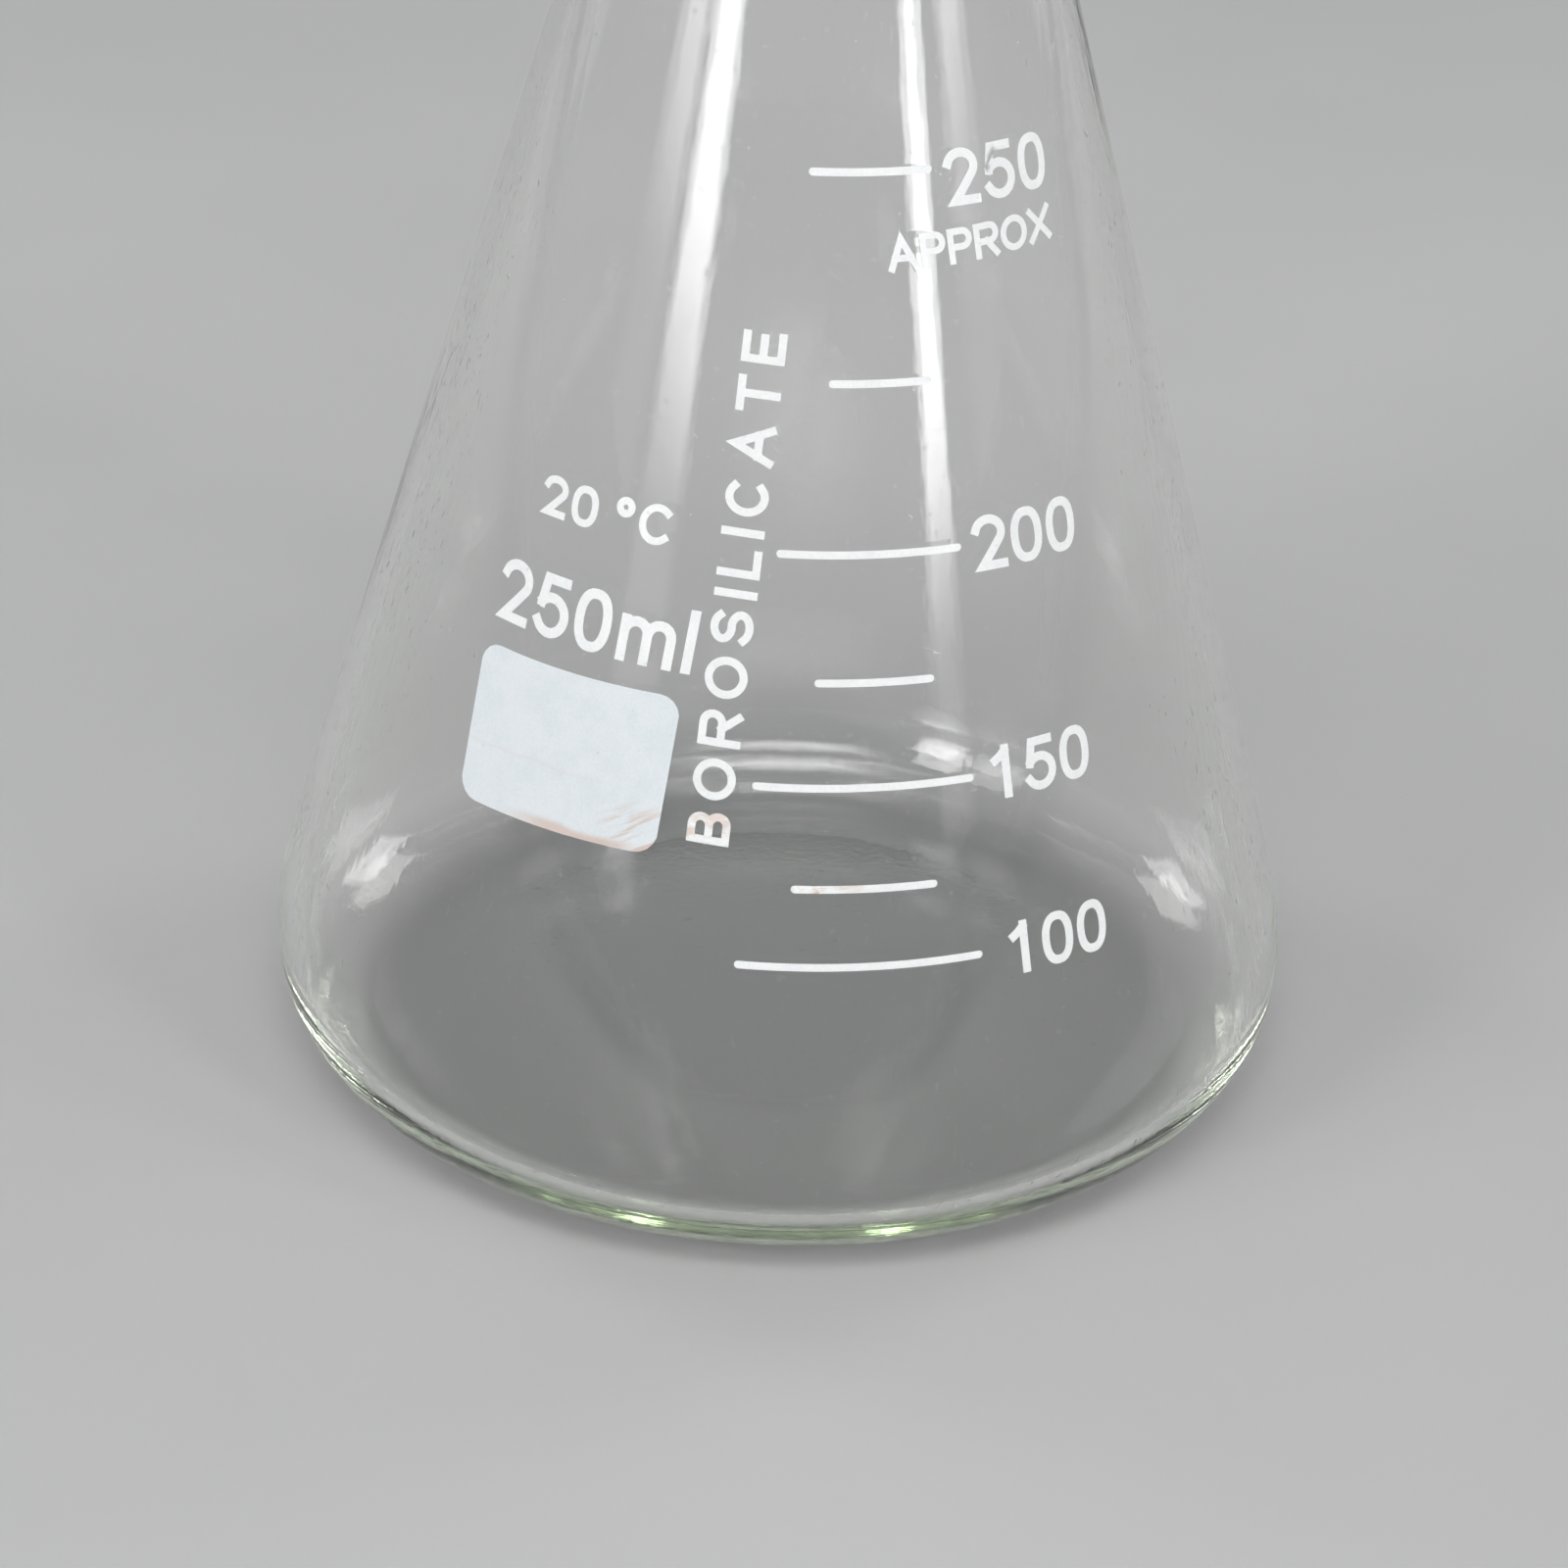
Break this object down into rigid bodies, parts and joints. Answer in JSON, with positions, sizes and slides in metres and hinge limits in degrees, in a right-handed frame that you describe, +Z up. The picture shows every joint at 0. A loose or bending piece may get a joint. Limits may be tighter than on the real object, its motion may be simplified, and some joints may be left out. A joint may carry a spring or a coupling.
{
  "type": "erlenmeyer flask",
  "caption": "Narrow-neck conical laboratory flask in clear glass with a rolled rim, white enamel scale lines, numerals and a writing patch.",
  "frame": {"origin": "centre of the flask's footprint, in the plane of its flat resting ring", "axes": "+Z up along the flask's axis, from base to mouth; the column of graduations faces -Y, the writing patch is on its left (-X) side"},
  "size_m": [0.083, 0.083, 0.142],
  "materials": {
    "clear_glass": "clear, fire-polished, faintly green at thick edges",
    "white_enamel": "fired ceramic ink, satin, opaque"
  },
  "bodies": {
    "root": {"flask_body": "clear_glass", "approx_1_A": "white_enamel", "approx_2_P": "white_enamel", "approx_3_P": "white_enamel", "approx_4_R": "white_enamel", "approx_5_O": "white_enamel", "approx_6_X": "white_enamel", "capacity_1_2": "white_enamel", "capacity_2_5": "white_enamel", "capacity_3_0": "white_enamel", "capacity_4_m": "white_enamel", "capacity_5_l": "white_enamel", "graduation_100": "white_enamel", "graduation_125": "white_enamel", "graduation_150": "white_enamel", "graduation_175": "white_enamel", "graduation_200": "white_enamel", "graduation_225": "white_enamel", "graduation_250": "white_enamel", "material_10_A": "white_enamel", "material_11_T": "white_enamel", "material_12_E": "white_enamel", "material_1_B": "white_enamel", "material_2_O": "white_enamel", "material_3_R": "white_enamel", "material_4_O": "white_enamel", "material_5_S": "white_enamel", "material_6_I": "white_enamel", "material_7_L": "white_enamel", "material_8_I": "white_enamel", "material_9_C": "white_enamel", "numeral_100_1": "white_enamel", "numeral_100_2": "white_enamel", "numeral_100_3": "white_enamel", "numeral_150_1": "white_enamel", "numeral_150_2": "white_enamel", "numeral_150_3": "white_enamel", "numeral_200_1": "white_enamel", "numeral_200_2": "white_enamel", "numeral_200_3": "white_enamel", "numeral_250_1": "white_enamel", "numeral_250_2": "white_enamel", "numeral_250_3": "white_enamel", "temperature_1_2": "white_enamel", "temperature_2_0": "white_enamel", "temperature_3_degree": "white_enamel", "temperature_4_C": "white_enamel", "writing_patch": "white_enamel"}
  },
  "joints": []
}
